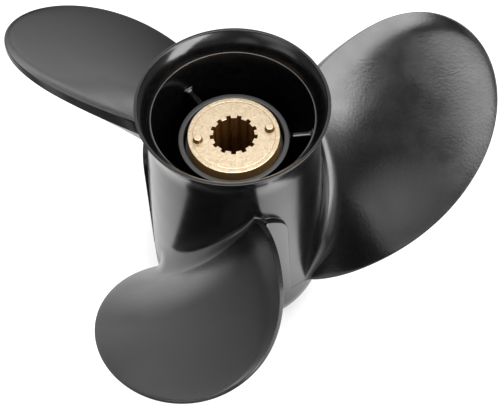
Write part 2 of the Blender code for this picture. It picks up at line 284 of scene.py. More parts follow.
def spot(radius, height):
    """A single point of a profile."""
    return np.array([[radius, height]])


def turned_about(points, angle):
    """The same points turned round the shaft axis."""
    spin = np.array(Matrix.Rotation(angle, 3, "Z"))
    return points @ spin.T


def zipped(loop):
    """Quads that close a flat loop across itself: each point faces its mirror place counted from the end."""
    near = np.arange(len(loop) // 2)
    far = len(loop) - 1 - near
    return np.stack([loop[near], loop[near + 1], loop[far - 1], loop[far]], axis=-1)


def lofted(rows, ring=False, caps=(False, False)):
    """Points and triangles that skin a row of closed loops.

    With ring the last loop joins the first. A cap zips an end loop shut. Points that coincide are
    welded, and triangles that lose a corner by it are dropped, so poles and seams close. A skin whose
    volume comes out negative is turned inside out.
    """
    count, around, _ = rows.shape
    index = np.arange(count * around).reshape(count, around)
    if ring:
        index = np.vstack([index, index[:1]])
    index = np.hstack([index, index[:, :1]])
    cells = [index[:-1, :-1], index[:-1, 1:], index[1:, 1:], index[1:, :-1]]
    quads = [np.stack(cells, axis=-1).reshape(-1, 4)]
    if caps[0]:
        quads.append(zipped(index[0, :-1])[:, ::-1])
    if caps[1]:
        quads.append(zipped(index[-1, :-1]))
    quads = np.concatenate(quads)
    triangles = np.concatenate([quads[:, [0, 1, 2]], quads[:, [0, 2, 3]]])
    points = rows.reshape(-1, 3)
    rounded = np.round(points / WELD).astype(np.int64)
    _, first, welded = np.unique(rounded, axis=0, return_index=True, return_inverse=True)
    triangles = welded.reshape(-1)[triangles]
    a, b, c = triangles.T
    whole = (a != b) & (b != c) & (c != a)
    points = points[first]
    triangles = triangles[whole]
    corners = points[triangles]
    volume = np.einsum("ij,ij->i", corners[:, 0], np.cross(corners[:, 1], corners[:, 2])).sum()
    if volume < 0.0:
        triangles = triangles[:, ::-1]
    return points, triangles


def fitted(name, skin, finish, node, sharp=SHARP_ANGLE):
    """Put a skin into the scene as one piece that stands for a node of the frame."""
    points, triangles = skin
    mesh = bpy.data.meshes.new(name)
    mesh.from_pydata(points.tolist(), [], triangles.tolist())
    mesh.update()
    mesh.shade_smooth()
    mesh.set_sharp_from_angle(angle=sharp)
    mesh.materials.append(finish)
    piece = bpy.data.objects.new(name, mesh)
    bpy.context.scene.collection.objects.link(piece)
    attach(piece, "root")
    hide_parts(node)


# The barrel


def barrel_radius(height):
    """Outer radius: a crown that falls with the square of the height, and a parabola over the nose."""
    nose = np.maximum(0.0, 1.0 - height / NOSE_LENGTH)
    return CROWN_RADIUS - CROWN_CURVE * height**2 - (CROWN_RADIUS - FRONT_RADIUS) * nose**2


def flare_radius(height):
    """Outer radius of the flare: the barrel's radius plus a parabola that reaches the lip."""
    share = (height - FLARE_START) / (HUB_LENGTH - FLARE_START)
    return barrel_radius(height) + (LIP_RADIUS - barrel_radius(HUB_LENGTH)) * share**2


def bore_radius(height):
    """The bore widens aft by its casting draft."""
    return BORE_EDGE_RADIUS - BORE_STEP - BORE_DRAFT * (BORE_EDGE_HEIGHT - height)


def barrel_profile():
    """Closed outline, up the outside, over the flat lip, down the mouth, over its step and down the bore.

    The mouth opens as a cone mixed with a power of the height's share, so it curls out towards the lip.
    """
    nose = NOSE_LENGTH * even(0.0, 1.0, NOSE_STEPS)[1:] ** NOSE_CROWDING
    crown = even(NOSE_LENGTH, FLARE_START, CROWN_STEPS)[1:]
    lip_base = HUB_LENGTH - LIP_EDGE
    lip_inside = LIP_RADIUS - LIP_THICKNESS
    flare = even(FLARE_START, lip_base, FLARE_STEPS)[1:]
    share = even(1.0, 0.0, MOUTH_STEPS)[1:]
    opening = MOUTH_CONE_SHARE * share + (1.0 - MOUTH_CONE_SHARE) * share**MOUTH_POWER
    step_edge = (BORE_EDGE_RADIUS - BORE_STEP + BORE_STEP_EDGE, BORE_EDGE_HEIGHT - BORE_STEP_EDGE)
    bore = even(step_edge[1], FRONT_EDGE, BORE_STEPS)[1:]
    inner_corner = (bore_radius(0.0) + FRONT_EDGE, FRONT_EDGE)
    return np.concatenate([
        spot(FRONT_RADIUS - FRONT_EDGE, 0.0),
        spot(FRONT_RADIUS - FRONT_CORNER_INSET, FRONT_CORNER_RISE),
        run(barrel_radius(nose), nose),
        run(barrel_radius(crown), crown),
        run(flare_radius(flare), flare),
        arc((LIP_RADIUS - LIP_EDGE, lip_base), LIP_EDGE, 0.0, RIGHT_ANGLE, CORNER_STEPS)[1:],
        arc((lip_inside + LIP_EDGE, lip_base), LIP_EDGE, RIGHT_ANGLE, math.pi, CORNER_STEPS),
        run(BORE_EDGE_RADIUS + (lip_inside - BORE_EDGE_RADIUS) * opening,
            BORE_EDGE_HEIGHT + (lip_base - BORE_EDGE_HEIGHT) * share),
        arc(step_edge, BORE_STEP_EDGE, RIGHT_ANGLE, math.pi, SMALL_CORNER_STEPS),
        run(bore_radius(bore), bore),
        arc(inner_corner, FRONT_EDGE, math.pi, math.pi + RIGHT_ANGLE, CORNER_STEPS)[1:],
    ])


def revolved(profile, around=AROUND_STEPS):
    """Carry a closed (radius, height) outline once round the shaft axis."""
    angles = even(0.0, FULL_TURN, around + 1)[:-1, None]
    return lofted(wrapped(profile[None, :, 0], angles, profile[None, :, 1]), ring=True)


# The lands


def land_radius(height):
    """A land widens aft, so that the front half of the mould draws off it."""
    return LAND_RADIUS + LAND_DRAFT * (height - LAND_START)


def root_end(side):
    """Angle and height of the leading (-1) or trailing (+1) end of the chord at the barrel."""
    return on_blade(CROWN_RADIUS, 0.5 * side * chord(CROWN_RADIUS), 0.0)


def land_top(angle):
    """Height of a land's step: along the blade's helix, then down a quarter oval past the trailing edge."""
    tail_angle, tail_height = root_end(1.0)
    helix = tail_height + HELIX_RISE * (np.minimum(angle, tail_angle) - tail_angle)
    beyond = np.clip((angle - tail_angle) / (LAND_EDGE_ANGLE - tail_angle), 0.0, 1.0)
    return helix - LAND_STEP_DROP - LAND_CORNER_DROP * (1.0 - np.sqrt(1.0 - beyond**2))


def hub_radius(angle, height):
    """What a blade stands on: the barrel above a land's step, and the land below it."""
    barrel = barrel_radius(height)
    raised = np.maximum(land_radius(height), barrel) - barrel
    return barrel + raised * ease((land_top(angle) - height) / LAND_STEP_WIDTH + 0.5)


def land_border():
    """Angle and height along a land's open border: over its step, round the corner, down the long edge."""
    tail_angle, _ = root_end(1.0)
    hidden = even(tail_angle - LAND_TUCK, tail_angle, TUCK_STEPS)[:-1]
    corner = tail_angle + (LAND_EDGE_ANGLE - tail_angle) * np.sin(even(0.0, RIGHT_ANGLE, BORDER_STEPS))
    step = np.concatenate([hidden, corner])
    edge = even(float(land_top(LAND_EDGE_ANGLE)), LAND_START, BORDER_STEPS)[1:]
    angle = np.concatenate([step, np.full(len(edge), LAND_EDGE_ANGLE)])
    height = np.concatenate([land_top(step), edge])
    slant = LAND_EDGE_SLANT * np.clip(LAND_EDGE_HEIGHT - height, 0.0, None)
    return angle + slant * ease((angle - tail_angle) / (LAND_EDGE_ANGLE - tail_angle)), height


def land_points():
    """A land as closed loops carried along its border.

    Each loop rises from the barrel by a small fillet and a wall, rounds the edge, runs as a straight
    ruling over the land to a line hidden inside the blade, and comes back under the barrel's skin.
    """
    angle, height = land_border()
    along = np.gradient(angle * CROWN_RADIUS), np.gradient(height)
    length = np.hypot(*along)
    out_angle = -along[1] / length / CROWN_RADIUS
    out_height = along[0] / length
    rise = np.maximum(land_radius(height) - barrel_radius(height), 0.0)
    edge = np.minimum(LAND_EDGE_ROUNDING, LAND_EDGE_SHARE * rise)[:, None]
    foot = np.minimum(LAND_FOOT_FILLET, LAND_FOOT_SHARE * rise)[:, None]
    quarter = even(0.0, RIGHT_ANGLE, CORNER_STEPS)[None, :]
    offset = np.concatenate([
        foot + LAND_FOOT_OVERHANG,
        foot * (1.0 - np.sin(quarter)),
        -edge * (1.0 - np.cos(quarter)),
    ], axis=1)
    lift = np.concatenate([
        np.full_like(foot, -LAND_FOOT_SUNK),
        foot * (1.0 - np.cos(quarter)),
        rise[:, None] - edge * (1.0 - np.sin(quarter)),
    ], axis=1)
    wall_angle = angle[:, None] + offset * out_angle[:, None]
    wall_height = height[:, None] + offset * out_height[:, None]
    wall_radius = barrel_radius(wall_height) + lift
    hidden = ease(even(0.0, 1.0, len(angle)) ** LAND_SPINE_POWER)
    lead_angle, _ = root_end(-1.0)
    tail_angle, _ = root_end(1.0)
    spine_angle = tail_angle - LAND_TUCK + (lead_angle - tail_angle + LAND_TUCK) * hidden
    spine_height = land_top(spine_angle) - LAND_SPINE_DROP
    reach = even(0.0, 1.0, RULING_STEPS)[None, 1:]
    start_angle = wall_angle[:, -1:]
    start_height = wall_height[:, -1:]
    face_angle = start_angle + (spine_angle[:, None] - start_angle) * reach
    ruling_height = start_height + (spine_height[:, None] - start_height) * reach
    ruling_radius = land_radius(ruling_height)
    top_angle = np.concatenate([wall_angle, face_angle], axis=1)
    top_height = np.concatenate([wall_height, ruling_height], axis=1)
    top_radius = np.concatenate([wall_radius, ruling_radius], axis=1)
    under_radius = barrel_radius(top_height) - LAND_HIDDEN_DEPTH
    return wrapped(
        np.concatenate([top_radius, under_radius[:, ::-1]], axis=1),
        np.concatenate([top_angle, top_angle[:, ::-1]], axis=1),
        np.concatenate([top_height, top_height[:, ::-1]], axis=1),
    )


def seam_points():
    """A mould seam from the foot of a land to the next blade's nose, as half ovals carried along it.

    The path is straight on the unrolled barrel, and the half oval stands on the barrel's skin.
    """
    along = even(0.0, 1.0, SEAM_STEPS)[:, None]
    foot_angle = LAND_EDGE_ANGLE + LAND_EDGE_SLANT * (LAND_EDGE_HEIGHT - LAND_START)
    nose_angle, nose_height = root_end(-1.0)
    angle = foot_angle + (nose_angle + BLADE_PITCH_ANGLE - foot_angle) * along
    height = LAND_START + (nose_height + SEAM_NOSE_RISE - LAND_START) * along
    turn = even(0.0, math.pi, SEAM_TURN_STEPS)[None, :]
    path_height = height + 0.5 * SEAM_WIDTH * np.cos(turn)
    radius = barrel_radius(path_height) - SEAM_SUNK + (SEAM_HEIGHT + SEAM_SUNK) * np.sin(turn)
    under = barrel_radius(path_height) - 2.0 * SEAM_SUNK
    return np.concatenate([
        wrapped(radius, angle, path_height), wrapped(under, angle, path_height)[:, ::-1],
    ], axis=1)


# The blades


def chord_share(radius):
    """Distance from the widest radius as a share of its reach, with that reach, the oval's power and side.

    The side is 1 between the widest radius and the tip, and -1 between it and the shaft.
    """
    outside = radius > WIDEST_RADIUS
    reach = np.where(outside, TIP_RADIUS - WIDEST_RADIUS, CHORD_REACH_IN)
    power = np.where(outside, CHORD_POWER_OUT, CHORD_POWER_IN)
    side = np.where(outside, 1.0, -1.0)
    return np.abs(radius - WIDEST_RADIUS) / reach, reach, power, side


def chord(radius):
    """Chord length: the root of one less a power of the share, an ellipse inside and a fuller oval out."""
    share, _, power, _ = chord_share(np.asarray(radius))
    return WIDEST_CHORD * np.sqrt(np.maximum(0.0, 1.0 - share**power))


def outline_normal(radius, grip):
    """Unit direction out of the blade's outline: its part along the chord and its part away from the shaft.

    It is square to the outline, whose half width is half the widest chord times a root. The slope of
    that root brings a second half, so the quarter below. grip fades the second part in.
    """
    share, reach, power, side = chord_share(radius)
    along = np.sqrt(np.maximum(0.0, 1.0 - share**power))
    away = grip * side * 0.25 * WIDEST_CHORD * power * share ** (power - 1.0) / reach
    length = np.hypot(along, away)
    return along / length, away / length


def middle_angle(radius):
    """Skew of the middle of the chord."""
    return SKEW_ANGLE + SKEW_PER_METRE * (radius - SKEW_RADIUS)


def middle_height(radius):
    """Rake: how far aft the middle of the chord lies."""
    out = radius - RAKE_RADIUS
    return RAKE_HEIGHT + RAKE_SLOPE * out - RAKE_CURVE * out**2


def face_height(share, radius):
    """The driving face lies in front of its chord by a parabola, and hooks back aft at the cupped edge.

    The hook is level up to where the cup starts and straight past it, with a soft bend between:
    the logarithm of one plus an exponential, scaled to reach one at the trailing edge.
    """
    slack = chord(radius) / WIDEST_CHORD
    hook = np.logaddexp(0.0, (share - CUP_START) / CUP_BEND) / np.logaddexp(0.0, (1.0 - CUP_START) / CUP_BEND)
    hollow = FACE_SAG * bow(share) + CUP_DEPTH * (share - hook)
    return face_crown(share, radius) - slack * hollow


def face_crown(share, radius):
    """How far the driving face bulges aft near the root.

    It grows with the root of the chord's share, turns down at the trailing edge by a high power, and
    fades with the square of what is left of the span.
    """
    rest = np.clip((TIP_RADIUS - radius) / (TIP_RADIUS - CROWN_RADIUS), 0.0, 1.0)
    return FACE_CROWN * rest**2 * np.sqrt(share) * (1.0 - (1.0 - FACE_CROWN_END) * share**FACE_CROWN_TURN)


def thickness(share, radius):
    """Thin at the leading edge, blunt at the trailing edge, fullest in the middle of the root."""
    span = np.clip((radius - CROWN_RADIUS) / (TIP_RADIUS - CROWN_RADIUS), 0.0, 1.0)
    edge = EDGE_THICKNESS + TRAILING_EXTRA * (1.0 - span**TRAILING_FADE) * share
    return edge + ROOT_CROWN * (1.0 - span) * bow(share) + face_crown(share, radius)


def on_blade(radius, along, aft):
    """Wrap a section point onto its cylinder: along the helix, and aft across it."""
    slant = np.hypot(radius, HELIX_RISE)
    angle = middle_angle(radius) + (along - aft * HELIX_RISE / radius) / slant
    height = middle_height(radius) + (along * HELIX_RISE + aft * radius) / slant
    return angle, height


def section_columns():
    """Round one section from the middle of its nose: share of the chord, and turn of the rim.

    The turn is 0 on the face and half a circle on the back, and runs between them round both rims.
    """
    rim = even(0.0, math.pi, RIM_STEPS + 2)[1:-1]
    half = RIM_STEPS // 2
    across = dense_ends(ACROSS_STEPS)
    share = np.concatenate([
        np.zeros(half), across, np.ones(RIM_STEPS), across[::-1], np.zeros(half),
    ])
    turn = np.concatenate([
        rim[:half][::-1], np.zeros(ACROSS_STEPS), rim, np.full(ACROSS_STEPS, math.pi), rim[half:][::-1],
    ])
    return share, turn


def root_fillet(share, level):
    """Radius of the fillet at the root, from the face (level 0) to the back (level 1).

    On the face it shrinks aft with a power of the cosine of the chord's share. Round the leading
    edge it eases down to a small nose fillet.
    """
    forward = np.abs(np.cos(RIGHT_ANGLE * share)) ** FACE_FILLET_POWER
    face_fillet = FACE_FILLET_AFT + FACE_FILLET_FORWARD * forward
    back_fillet = BACK_FILLET_AFT + (BACK_FILLET - BACK_FILLET_AFT) * (1.0 - share**BACK_FILLET_POWER)
    fillet = face_fillet + (back_fillet - face_fillet) * level
    return NOSE_FILLET + (fillet - NOSE_FILLET) * ease(share / NOSE_FILLET_SHARE)


def blade_points():
    """A blade as closed loops: one sunk in the barrel, those up the root fillet, and those out to the tip.

    A rim point stands out from the edge by the edge's depth times a power of the sine of its turn,
    and lies between face and back by the same power of the cosine: a circle at the leading edge, a
    blunt superellipse at the trailing edge. In the fillet the whole loop is pushed out along its own
    normal by the fillet's radius times one less the sine of the fillet's turn, and lifted off the hub
    by the radius times one less its cosine. The sections are drawn in by the edges' depth, so that the
    rims end on the outline. What a point stands on depends on its place, so a few passes settle both.
    """
    share, turn = section_columns()
    fillet_turn = np.concatenate([
        even(0.0, RIGHT_ANGLE, FILLET_STEPS + 1)[:-1], np.full(REACH_STEPS, RIGHT_ANGLE),
    ])[:, None]
    out = np.concatenate([
        np.zeros(FILLET_STEPS), np.sin(even(0.0, RIGHT_ANGLE, REACH_STEPS)),
    ])[:, None]
    side = np.where(share < 0.5, -1.0, 1.0)
    level = 0.5 - 0.5 * np.cos(turn)
    fillet = root_fillet(share, level)
    spread = fillet * (1.0 - np.sin(fillet_turn))
    lift = fillet * (1.0 - np.cos(fillet_turn))
    tip_blend = ease((out - BLUNT_END) / (1.0 - BLUNT_END))
    rim_power = np.where(share < 0.5, 1.0, BLUNT_POWER + (1.0 - BLUNT_POWER) * tip_blend)
    stand_out = np.abs(np.sin(turn)) ** rim_power
    rim_level = 0.5 - 0.5 * powered(np.cos(turn), rim_power)
    grip = ease(out / OUTLINE_GRIP_END)
    radius = np.full(np.broadcast(out, share).shape, CROWN_RADIUS)
    for _ in range(SETTLING_PASSES):
        body = thickness(share, radius)
        nose_depth = 0.5 * thickness(0.0, radius)
        tail_depth = BLUNT_DEPTH + (0.5 * thickness(1.0, radius) - BLUNT_DEPTH) * tip_blend
        depth = np.where(share < 0.5, nose_depth, tail_depth)
        push_along, push_away = outline_normal(radius, grip)
        along = (share - 0.5) * chord(radius)
        along = along + push_along * (nose_depth * (1.0 - share) - tail_depth * share)
        along = along + side * (push_along * depth * stand_out + np.sin(turn) * spread)
        drawn_in = nose_depth * (1.0 - share) + tail_depth * share
        place = radius + push_away * (depth * stand_out - drawn_in)
        aft = face_height(share, radius) - rim_level * body + np.cos(turn) * spread
        angle, height = on_blade(place, along, aft)
        root = hub_radius(angle, height) + lift
        radius = root + (TIP_RADIUS - root) * out
    sunk = wrapped(place[:1] - ROOT_SUNK, angle[:1], height[:1])
    return np.concatenate([sunk, wrapped(place, angle, height)])


# The inner hub, ribs, bush and sleeve


def inner_hub_profile():
    """A tube with rounded rims and a shoulder at its front end that stops the bush."""
    rim = INNER_HUB_RIM
    top = INNER_HUB_TOP
    return np.concatenate([
        spot(SHOULDER_BORE, INNER_HUB_BOTTOM),
        arc((INNER_HUB_RADIUS - rim, INNER_HUB_BOTTOM + rim), rim, -RIGHT_ANGLE, 0.0, SMALL_CORNER_STEPS),
        run(INNER_HUB_RADIUS, even(INNER_HUB_BOTTOM + 2.0 * rim, top - 2.0 * rim, WALL_STEPS)),
        arc((INNER_HUB_RADIUS - rim, top - rim), rim, 0.0, RIGHT_ANGLE, SMALL_CORNER_STEPS),
        arc((INNER_HUB_BORE + rim, top - rim), rim, RIGHT_ANGLE, math.pi, SMALL_CORNER_STEPS),
        run(INNER_HUB_BORE, even(top - 2.0 * rim, SHOULDER_TOP, WALL_STEPS)),
        spot(SHOULDER_BORE, SHOULDER_TOP),
    ])


def rib_points():
    """A rib as loops across it, carried out from the inner hub to the barrel.

    Its section is upright, with half ovals for crest and trough, whose cosine and sine are raised to a
    power below one to square them a little. It widens into both walls by a round fillet.
    """
    near = INNER_HUB_RADIUS - RIB_SUNK
    far = bore_radius(RIB_TOP) + RIB_SUNK
    out = near + (far - near) * dense_ends(RIB_REACH_STEPS)[:, None]
    to_wall = np.minimum(out - INNER_HUB_RADIUS, bore_radius(RIB_TOP) - out)
    close = np.clip(1.0 - to_wall / RIB_FILLET, 0.0, 1.0)
    flare = RIB_FILLET * (1.0 - np.sqrt(1.0 - close**2))
    climb = np.minimum(RIB_CLIMB_SHARE * flare, INNER_HUB_TOP - RIB_RIM_GAP - RIB_TOP)
    crest = RIB_TOP - RIB_CREST_HEIGHT + climb
    trough = RIB_BOTTOM + RIB_CREST_HEIGHT - climb
    middle = np.repeat(np.hstack([crest, trough]), RIB_TURN_STEPS, axis=1)
    half_turn = even(0.0, math.pi, RIB_TURN_STEPS)
    turn = np.concatenate([half_turn, math.pi + half_turn])[None, :]
    across = (0.5 * RIB_THICKNESS + flare) * powered(np.cos(turn), RIB_CREST_POWER)
    height = middle + RIB_CREST_HEIGHT * powered(np.sin(turn), RIB_CREST_POWER)
    points = np.stack([np.broadcast_to(out, across.shape), across, height], axis=-1)
    return turned_about(points, RIB_ANGLE)


def bush_profile():
    """The bush fills the space between the sleeve's tube and the inner hub, with a rounded aft end."""
    inner = SLEEVE_TUBE_RADIUS + FIT_GAP
    outer = INNER_HUB_BORE - FIT_GAP
    bottom = SHOULDER_TOP + FIT_GAP
    top = SLEEVE_FACE_HEIGHT - SLEEVE_FLANGE_THICKNESS - FIT_GAP
    edge = BUSH_EDGE
    return np.concatenate([
        run(outer, even(bottom, top - 2.0 * edge, BUSH_WALL_STEPS)),
        arc((outer - edge, top - edge), edge, 0.0, RIGHT_ANGLE, CORNER_STEPS),
        arc((inner + edge, top - edge), edge, RIGHT_ANGLE, math.pi, CORNER_STEPS),
        run(inner, even(top - 2.0 * edge, bottom, BUSH_WALL_STEPS)),
    ])


def spline_outline():
    """Angle and radius round the bore: floors of the spaces, flanks eased between, tips of the teeth."""
    pitch = FULL_TURN / SPLINE_TEETH
    half_space = 0.5 * SPLINE_SPACE_SHARE
    flank = SPLINE_FLANK_SHARE * half_space
    reach = SPLINE_FLANK_REACH * flank
    half = np.concatenate([
        even(0.0, half_space - reach, SPLINE_LEVEL_STEPS)[:-1],
        even(half_space - reach, half_space + reach, SPLINE_FLANK_STEPS),
        even(half_space + reach, 0.5, SPLINE_LEVEL_STEPS)[1:],
    ])
    place = np.concatenate([half, 1.0 - half[::-1][1:-1]])
    from_space = np.minimum(place, 1.0 - place)
    climb = ease((from_space - half_space) / flank + 0.5)
    radius = SPLINE_MAJOR_RADIUS + (SPLINE_MINOR_RADIUS - SPLINE_MAJOR_RADIUS) * climb
    angle = SPLINE_PHASE + pitch * (place[None, :] + np.arange(SPLINE_TEETH)[:, None])
    return angle.reshape(-1), np.tile(radius, SPLINE_TEETH)


def sleeve_outside():
    """The sleeve's outline from the bore's mouth over the face and its groove, and down flange and tube."""
    groove_start = FACE_GROOVE_RADIUS - FACE_GROOVE_HALF_WIDTH
    groove_end = FACE_GROOVE_RADIUS + FACE_GROOVE_HALF_WIDTH
    face_radius = np.concatenate([
        even(FACE_START_RADIUS, groove_start, FACE_STEPS),
        even(groove_start, groove_end, GROOVE_STEPS)[1:-1],
        even(groove_end, SLEEVE_FACE_RADIUS - SLEEVE_CHAMFER, FLANGE_STEPS),
    ])
    groove = np.clip(1.0 - np.abs(face_radius - FACE_GROOVE_RADIUS) / FACE_GROOVE_HALF_WIDTH, 0.0, 1.0)
    flange_bottom = SLEEVE_FACE_HEIGHT - SLEEVE_FLANGE_THICKNESS
    edge = SLEEVE_CHAMFER
    round_edge = (SLEEVE_FACE_RADIUS - edge, SLEEVE_FACE_HEIGHT - edge)
    return np.concatenate([
        run(face_radius, SLEEVE_FACE_HEIGHT - FACE_GROOVE_DEPTH * ease(groove)),
        arc(round_edge, edge, RIGHT_ANGLE, 0.0, SLEEVE_EDGE_STEPS)[1:],
        run(SLEEVE_FACE_RADIUS, even(SLEEVE_FACE_HEIGHT - 2.0 * edge, flange_bottom + edge, FLANGE_STEPS)),
        spot(SLEEVE_FACE_RADIUS - 0.5 * edge, flange_bottom),
        run(even(SLEEVE_FACE_RADIUS - edge, SLEEVE_TUBE_RADIUS, FLANGE_FRONT_STEPS), flange_bottom),
        run(SLEEVE_TUBE_RADIUS, even(flange_bottom - edge, SLEEVE_BOTTOM + edge, WALL_STEPS)),
        spot(SLEEVE_TUBE_RADIUS - edge, SLEEVE_BOTTOM),
    ])


def sleeve_points():
    """The sleeve as upright loops carried round it: up the bore, then along the outline of its outside.

    In the bore the radius is the spline's outline, opened near both ends by a cone, and it is
    the larger of the two.
    """
    angle, spline = spline_outline()
    cone_bottom = SLEEVE_BOTTOM + SPLINE_CHAMFER
    cone_top = SLEEVE_FACE_HEIGHT - SPLINE_CHAMFER
    bore_height = np.concatenate([
        even(SLEEVE_BOTTOM, cone_bottom, FRONT_CONE_STEPS),
        even(cone_bottom, cone_top, SPLINE_BORE_STEPS)[1:-1],
        even(cone_top, SLEEVE_FACE_HEIGHT, AFT_CONE_STEPS),
    ])
    from_end = np.minimum(bore_height - SLEEVE_BOTTOM, SLEEVE_FACE_HEIGHT - bore_height)
    cone = SPLINE_MINOR_RADIUS + SPLINE_CHAMFER - from_end
    bore_radii = np.maximum(spline[:, None], cone[None, :])
    outer = sleeve_outside()
    outer_radii = np.broadcast_to(outer[:, 0], (len(angle), len(outer)))
    radius = np.concatenate([bore_radii, outer_radii], axis=1)
    height = np.concatenate([bore_height, outer[:, 1]])[None, :]
    return wrapped(radius, angle[:, None], height)


def peg_points(number):
    """A peg as circles from under the sleeve's face to its top, with a fillet at its foot."""
    foot = PEG_RADIUS + PEG_FILLET
    profile = np.concatenate([
        spot(0.0, -PEG_SUNK),
        spot(foot, -PEG_SUNK),
        arc((foot, PEG_FILLET), PEG_FILLET, -RIGHT_ANGLE, -math.pi, SMALL_CORNER_STEPS),
        arc((PEG_TOP_RADIUS - PEG_EDGE, PEG_HEIGHT - PEG_EDGE), PEG_EDGE, 0.0, RIGHT_ANGLE, CORNER_STEPS),
        spot(0.5 * PEG_TOP_RADIUS, PEG_HEIGHT),
        spot(0.0, PEG_HEIGHT),
    ])
    turn = even(0.0, FULL_TURN, PEG_AROUND_STEPS + 1)[None, :-1]
    points = wrapped(profile[:, :1], turn, profile[:, 1:])
    place = PEG_ANGLE + number * FULL_TURN / PEGS
    return points + wrapped(PEG_CIRCLE_RADIUS, place, SLEEVE_FACE_HEIGHT)


# Finishes

PAINT_BLACK = (0.0008, 0.0008, 0.0009)
PAINT_DUSTY = (0.0030, 0.0030, 0.0032)
# Lighter paint: wear and painted highlight on the lip's edges, and a painted highlight line on the bore's
# ledge
PAINT_WORN_AND_HIGHLIT = (0.045, 0.040, 0.038)
RIM_SLATE = (0.016, 0.017, 0.0155)
RIM_SLATE_DARK = tuple(0.8 * part for part in RIM_SLATE)
RUBBER_DARK = (0.007, 0.006, 0.005)
RUBBER_GREY = (0.018, 0.015, 0.013)
BRASS_FACE_DARK = (0.44, 0.35, 0.24)
BRASS_FACE_LIGHT = (0.54, 0.44, 0.31)
BRASS_PIT = (0.27, 0.19, 0.10)
BRASS_WALL_DARK = (0.36, 0.19, 0.055)
BRASS_WALL_LIGHT = (0.52, 0.30, 0.11)
# Painted shade: dark browns for the pegs' walls under their bright tops
BRASS_PAINTED_SHADE_DARK = (0.10, 0.055, 0.02)
BRASS_PAINTED_SHADE_LIGHT = (0.24, 0.14, 0.06)

IOR = 1.5
HUB_WALL_ROUGHNESS = 0.18
HUB_RIM_ROUGHNESS = 0.36
# How much smoother the lip and the mouth are than the rest of the barrel
MOUTH_GLOSS = 0.055
# How much rougher the sleeve's walls are than its face, and how metallic the flange's filmed wall is
WALL_DULLING = 0.15
FLANGE_METALLIC = 0.35

# Layers of relief: size across the blobs, detail of the noise, depth
BLADE_WAVES = (24.0 * MM, 1.0, 0.04 * MM)
BLADE_PEEL = (1.4 * MM, 1.0, 0.032 * MM)
BLADE_GRAIN = (0.7 * MM, 2.0, 0.015 * MM)
BARREL_WAVES = (30.0 * MM, 1.0, 0.10 * MM)
BARREL_PEEL = (2.4 * MM, 1.0, 0.016 * MM)
BARREL_GRAIN = (0.6 * MM, 2.0, 0.005 * MM)
HUB_PEEL = (1.8 * MM, 2.0, 0.03 * MM)
HUB_GRAIN = (0.5 * MM, 2.0, 0.008 * MM)
RUBBER_GRAIN = (1.2 * MM, 3.0, 0.05 * MM)
BRASS_SPECKLE = (0.9 * MM, 4.0, 0.012 * MM)
PEG_SPECKLE = (0.7 * MM, 4.0, 0.012 * MM)

# Layers of specks: spacing, reach from the middle, share of the places that have one, depth
BLADE_NIBS = (9.0 * MM, 0.45 * MM, 0.22, 0.05 * MM)
BARREL_NIBS = (11.0 * MM, 0.40 * MM, 0.25, 0.04 * MM)
BRASS_PITS = (1.8 * MM, 0.35 * MM, 0.3, -0.03 * MM)

# Turned rings: size across, detail, depth, and the share of the place that breaks them up
RING_SIZE = 0.22 * MM
RING_DETAIL = 2.0
RING_DEPTH = 0.006 * MM
RING_BREAK = 0.02

# Clouds between two colours: size across the blobs, detail
RIM_CLOUDS = (1.5 * MM, 3.0)
RUBBER_CLOUDS = (4.0 * MM, 3.0)
WALL_CLOUDS = (1.6 * MM, 3.0)

# Stepped clouds: size across the blobs, detail, the noise's levels where the step starts and ends, and
# its values there
PEEL_PATCHES = (45.0 * MM, 2.0, 0.35, 0.62, 0.8, 1.0)
BLADE_DUST = (1.3 * MM, 3.0, 0.42, 0.72, 0.0, 1.0)
BLADE_ROUGHNESS = (14.0 * MM, 3.0, 0.3, 0.7, 0.19, 0.26)
BARREL_DUST = (3.0 * MM, 3.0, 0.2, 0.8, 0.0, 1.0)
BARREL_ROUGHNESS = (12.0 * MM, 3.0, 0.3, 0.7, 0.20, 0.24)
# The lip's patches are wear and painted highlight
LIP_WEAR_AND_HIGHLIGHT = (1.5 * MM, 3.0, 0.30, 0.70, 0.02, 0.07)
RUBBER_ROUGHNESS = (3.0 * MM, 1.0, 0.3, 0.7, 0.55, 0.7)
BRASS_ROUGHNESS = (1.4 * MM, 3.0, 0.3, 0.7, 0.27, 0.38)

# Steps across the brass's speckle: levels where the step starts and ends, and its values there
SPECKLE_TINT = (0.36, 0.64, 0.0, 1.0)
PEG_ROUGHNESS = (0.3, 0.7, 0.30, 0.42)
# Share of the pits' colour in the pits and in the groove
PIT_TINT = 0.7
GROOVE_TINT = 0.6
# Share of the groove's half width where its tint is full
GROOVE_CORE_SHARE = 0.3

# Bands under a top edge: depths where the band starts and where it is full
# The ledge's band is a painted highlight along the bore's edge
LEDGE_BAND = (0.12 * MM, 0.03 * MM)
LIP_BAND = (0.30 * MM, 0.10 * MM)
RIM_BAND = (0.45 * MM, 0.15 * MM)
FACE_BAND = (0.5 * MM, 0.2 * MM)
PEG_BAND = (0.45 * MM, 0.15 * MM)

# Blades' peel by distance from the shaft axis: where it is thin and thick, and its strength there
PEEL_THICKENING = (115.0 * MM, 65.0 * MM, 1.0, 1.4)
# The distances where it starts outside the root's fillet and where it is full
PEEL_START = (50.0 * MM, 60.0 * MM)
# Half the width over which the masks of the ledge's painted highlight and of the mouth's gloss blur
LEDGE_BLUR = 0.03 * MM
MOUTH_BLUR = 0.2 * MM
# Height over which the mouth's gloss comes in above the bore's edge
MOUTH_GLOSS_RISE = 1.0 * MM
# How far outside the spline the mask of the flange starts and where it is full
FLANGE_MASK = (1.0 * MM, 2.0 * MM)


